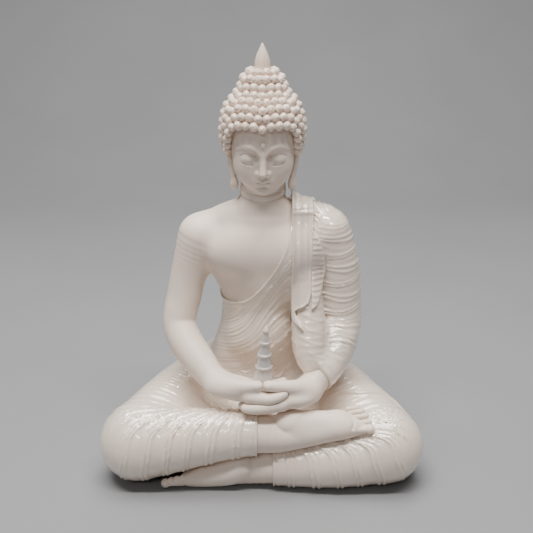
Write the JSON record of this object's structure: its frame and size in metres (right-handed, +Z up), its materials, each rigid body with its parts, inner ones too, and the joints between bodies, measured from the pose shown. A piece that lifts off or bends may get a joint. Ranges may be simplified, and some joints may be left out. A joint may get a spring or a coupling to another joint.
{
  "type": "seated buddha statue",
  "caption": "Cross-legged seated Buddha figure in white porcelain, robe over one shoulder, hands in the lap holding a small stepped stupa.",
  "frame": {"origin": "middle of the bounding box, on the surface the figure stands on", "axes": "+Z up through the crown jewel, the figure faces -Y, +X is the figure's own left"},
  "size_m": [0.2282, 0.1436, 0.298],
  "materials": {
    "glaze": "glossy warm white porcelain glaze",
    "bisque": "matte warm white bisque porcelain",
    "curls": "semi-matte warm white porcelain",
    "celadon": "glossy translucent grey-white",
    "raw_clay": "unglazed, rough"
  },
  "bodies": {
    "statue": {"lap_shell": "glaze", "base_plate": "raw_clay", "robe_torso": "glaze", "bare_chest": "bisque", "head_casting": "bisque", "hair_cap": "curls", "crown_jewel": "curls", "right_ear": "bisque", "left_ear": "bisque", "brow_bead": "bisque", "right_arm": "bisque", "left_sleeve": "glaze", "right_hand": "bisque", "left_hand": "bisque", "right_foot": "bisque", "left_foot": "bisque", "stole_band": "glaze", "stole_pleats": "glaze", "sleeve_drape": "glaze"},
    "stupa": {"stupa_tower": "celadon", "stupa_jewel": "glaze"}
  },
  "joints": [
    {"name": "stupa_lift", "type": "slide", "parent": "statue", "child": "stupa", "axis": [0, 0, 1], "range_m": [0, 0.06]}
  ]
}
